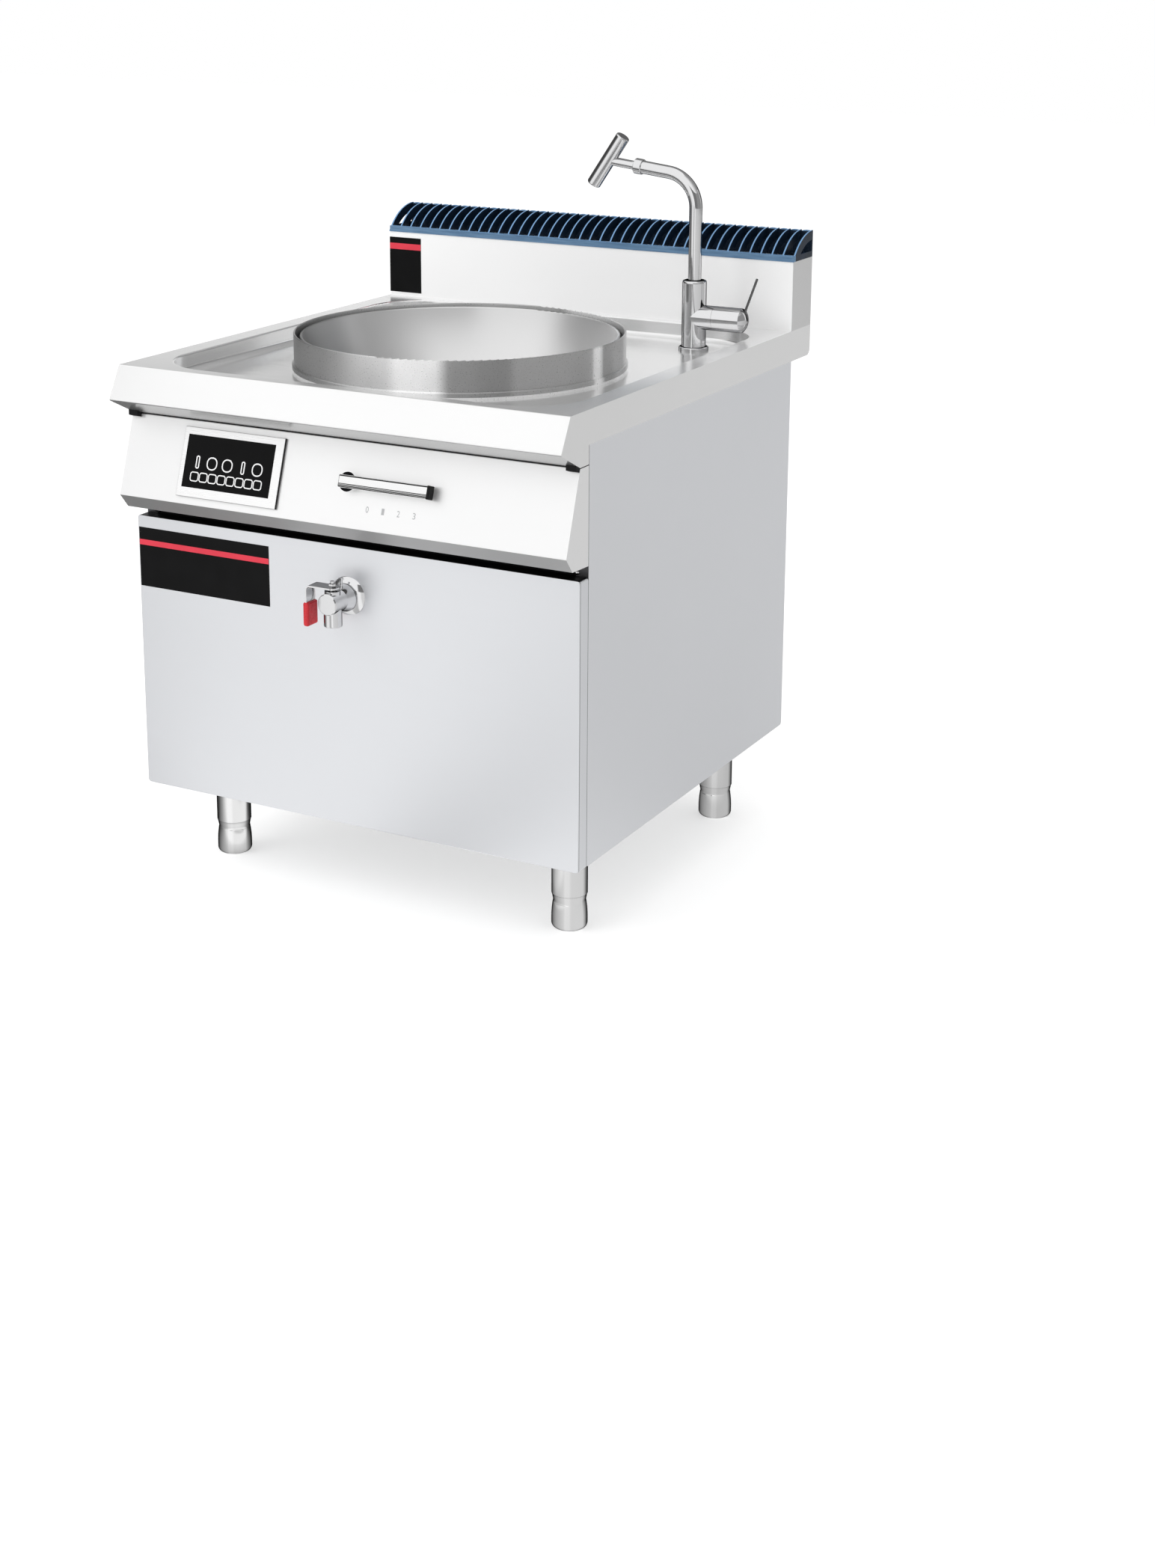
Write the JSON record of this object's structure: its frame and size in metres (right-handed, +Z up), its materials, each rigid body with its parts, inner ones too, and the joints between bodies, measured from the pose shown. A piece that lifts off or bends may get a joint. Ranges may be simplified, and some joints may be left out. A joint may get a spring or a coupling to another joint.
{
  "type": "wok range",
  "caption": "Free-standing stainless steel induction wok range with a raised collar and hemispherical wok, swivel tap, louvred backsplash vent, sloping control panel and drain valve.",
  "frame": {"origin": "middle of the underside of the whole box, on the floor under the feet", "axes": "+X to the right as seen from the front, +Y to the back, +Z up; the front faces -Y"},
  "size_m": [0.8, 0.902, 1.1775],
  "materials": {
    "steel_brushed": "fine brushed stainless sheet",
    "steel_polished": "satin to bright stainless",
    "wok_steel": "satin spun stainless",
    "chrome": "bright chrome plate",
    "grille_blue": "dark blue coated, bright edges",
    "rubber_black": "matt",
    "plastic_black": "matt",
    "display_black": "gloss black pane",
    "vinyl_red": "dipped vinyl",
    "zinc_sheet": "zinc plated",
    "frame_paint": "dark grey paint",
    "aluminium": "mill finish",
    "copper": "drawn copper",
    "brass": "machined",
    "ferrite": "sintered",
    "insulation": "fibre blanket",
    "board_green": "circuit board in its tray"
  },
  "bodies": {
    "range": {"worktop": "steel_brushed", "collar_ring": "steel_polished", "wok_seal": "rubber_black", "wok_bowl": "wok_steel", "coil_insulation": "insulation", "induction_coil": "copper", "coil_carrier": "aluminium", "ferrite_bars": "ferrite", "coil_brackets": "zinc_sheet", "backsplash": "steel_brushed", "vent_grille": "grille_blue", "left_side_panel": "steel_brushed", "right_side_panel": "steel_brushed", "back_panel": "steel_brushed", "base_panel": "zinc_sheet", "cabinet_frame": "frame_paint", "lower_front_panel": "steel_brushed", "panel_screws": "chrome", "worktop_gasket": "rubber_black", "panel_bumpers": "rubber_black", "control_panel": "steel_brushed", "display_bezel": "steel_brushed", "display_glass": "display_black", "display_board": "board_green", "rotary_switch": "plastic_black", "drain_fitting": "steel_polished", "drain_strainer": "steel_polished", "drain_pipe": "steel_polished", "valve_rosette": "chrome", "valve_body": "chrome", "valve_cap": "chrome", "tap_body": "chrome", "tap_locknut": "brass", "supply_pipe": "copper", "water_inlet": "brass", "leg_nuts": "zinc_sheet", "power_module": "aluminium", "heat_sink": "aluminium", "fan_housing": "plastic_black", "terminal_box": "plastic_black", "cable_gland": "plastic_black", "leg_front_left": "steel_polished", "leg_front_right": "steel_polished", "leg_rear_left": "steel_polished", "leg_rear_right": "steel_polished"},
    "power_lever": {"power_lever": "steel_polished", "lever_shaft": "chrome"},
    "valve_handle": {"valve_ball": "chrome", "valve_lever": "chrome", "valve_grip": "vinyl_red", "valve_nut": "chrome"},
    "spout": {"tap_spout": "chrome"},
    "spray_head": {"tap_head": "chrome"},
    "mixer_handle": {"tap_handle": "chrome"},
    "mixer_rod": {"tap_lever_rod": "chrome"},
    "fan_rotor": {"fan_impeller": "plastic_black"},
    "adjuster_front_left": {"foot_front_left": "steel_polished"},
    "adjuster_front_right": {"foot_front_right": "steel_polished"},
    "adjuster_rear_left": {"foot_rear_left": "steel_polished"},
    "adjuster_rear_right": {"foot_rear_right": "steel_polished"}
  },
  "joints": [
    {"name": "foot_front_left_height", "type": "slide", "parent": "range", "child": "adjuster_front_left", "axis": [0, 0, -1], "range_m": [0, 0.03]},
    {"name": "foot_front_right_height", "type": "slide", "parent": "range", "child": "adjuster_front_right", "axis": [0, 0, -1], "range_m": [0, 0.03]},
    {"name": "foot_rear_left_height", "type": "slide", "parent": "range", "child": "adjuster_rear_left", "axis": [0, 0, -1], "range_m": [0, 0.03]},
    {"name": "foot_rear_right_height", "type": "slide", "parent": "range", "child": "adjuster_rear_right", "axis": [0, 0, -1], "range_m": [0, 0.03]},
    {"name": "power_lever_turn", "type": "hinge", "parent": "range", "child": "power_lever", "pos_m": [0.023, -0.41068, 0.708], "axis": [0, 0.9502, -0.3117], "range_deg": [0, 60]},
    {"name": "valve_turn", "type": "hinge", "parent": "range", "child": "valve_handle", "pos_m": [0, -0.433, 0.523], "axis": [0, 0, 1], "range_deg": [0, 90]},
    {"name": "spout_swivel", "type": "hinge", "parent": "range", "child": "spout", "pos_m": [0.2625, 0.2744, 0.94], "axis": [0, 0, 1], "range_deg": [-45, 135]},
    {"name": "spray_head_turn", "type": "hinge", "parent": "spout", "child": "spray_head", "pos_m": [0.15, 0.2744, 1.124], "axis": [-0.9925, 0, 0.1219], "range_deg": [-90, 90]},
    {"name": "mixer_handle_turn", "type": "hinge", "parent": "range", "child": "mixer_handle", "pos_m": [0.302, 0.2744, 0.878], "axis": [1, 0, 0], "range_deg": [-45, 45]},
    {"name": "mixer_rod_lift", "type": "hinge", "parent": "mixer_handle", "child": "mixer_rod", "pos_m": [0.35, 0.2744, 0.878], "axis": [0, 1, 0], "range_deg": [0, 25]},
    {"name": "fan_spin", "type": "hinge", "parent": "range", "child": "fan_rotor", "pos_m": [-0.2, 0.35, 0.3], "axis": [0, 1, 0], "continuous": true}
  ]
}
